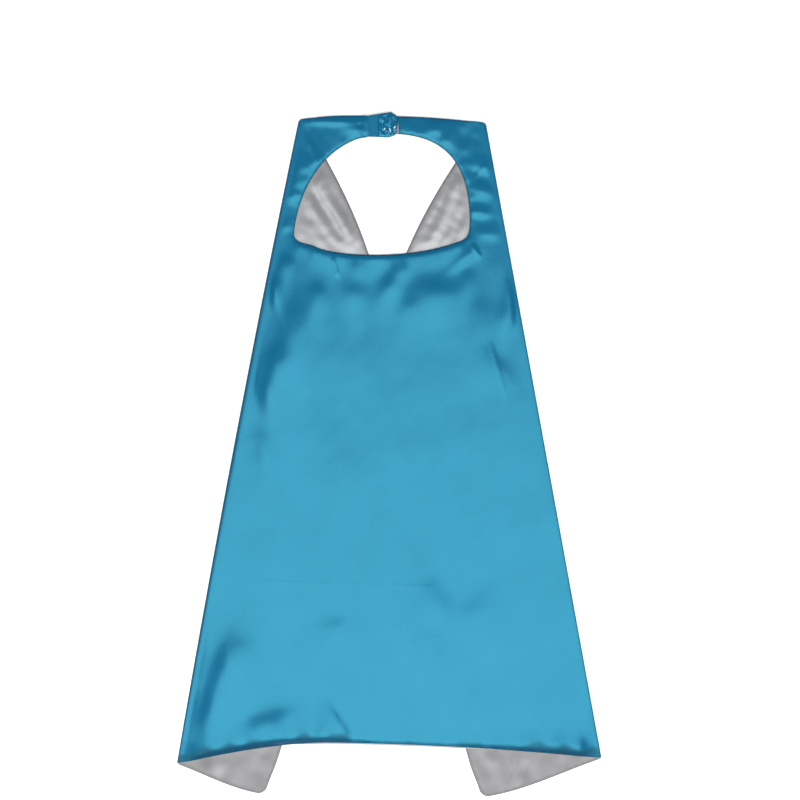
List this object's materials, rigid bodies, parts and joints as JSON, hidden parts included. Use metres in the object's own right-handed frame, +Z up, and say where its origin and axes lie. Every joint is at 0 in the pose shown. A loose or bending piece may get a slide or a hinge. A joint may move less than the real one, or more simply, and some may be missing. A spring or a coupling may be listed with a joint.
{
  "type": "cape",
  "caption": "Two-layer satin superhero cape, laid flat with both sides folded beneath the back and its neck strap closed by hook and loop.",
  "frame": {"origin": "on the surface that the cape lies on, at the middle of the folded cape's box", "axes": "+X across the cape towards the right fold as seen from above, +Y from the hem to the neck strap, +Z up through the blue outer face"},
  "size_m": [0.4612, 0.744, 0.0052],
  "materials": {
    "outer_satin": "blue polyester satin, soft sheen",
    "lining_satin": "silver-grey polyester satin, soft sheen",
    "seam": "turned-in satin seam allowance and its thread",
    "loop_tape": "brushed nylon loop pile",
    "hook_tape": "moulded nylon hooks on woven tape",
    "thread": "polyester sewing thread"
  },
  "bodies": {
    "back": {"back_outer": "outer_satin", "back_lining": "lining_satin", "neckline_seam": "seam", "hem_seam": "seam", "strap_seam": "seam", "loop_tape": "loop_tape", "loop_tape_stitching": "thread"},
    "left_flap": {"left_crease": "outer_satin", "left_flap_outer": "outer_satin", "left_flap_lining": "lining_satin", "left_flap_seam": "seam"},
    "right_flap": {"right_crease": "outer_satin", "right_flap_outer": "outer_satin", "right_flap_lining": "lining_satin", "right_flap_seam": "seam"},
    "strap_end": {"strap_end_outer": "outer_satin", "strap_end_lining": "lining_satin", "strap_end_seam": "seam", "hook_tape": "hook_tape", "hook_tape_stitching": "thread"}
  },
  "joints": [
    {"name": "left_fold", "type": "hinge", "parent": "back", "child": "left_flap", "pos_m": [-0.23, -0.337, 0.00115], "axis": [0.1859, 0.9826, 0], "range_deg": [0, 180]},
    {"name": "right_fold", "type": "hinge", "parent": "back", "child": "right_flap", "pos_m": [0.23, -0.331, 0.00115], "axis": [0.1791, -0.9838, 0], "range_deg": [0, 180]},
    {"name": "strap_peel", "type": "hinge", "parent": "back", "child": "strap_end", "pos_m": [-0.0215, 0.3583, 0.00475], "axis": [0, -1, 0], "range_deg": [0, 180]}
  ]
}
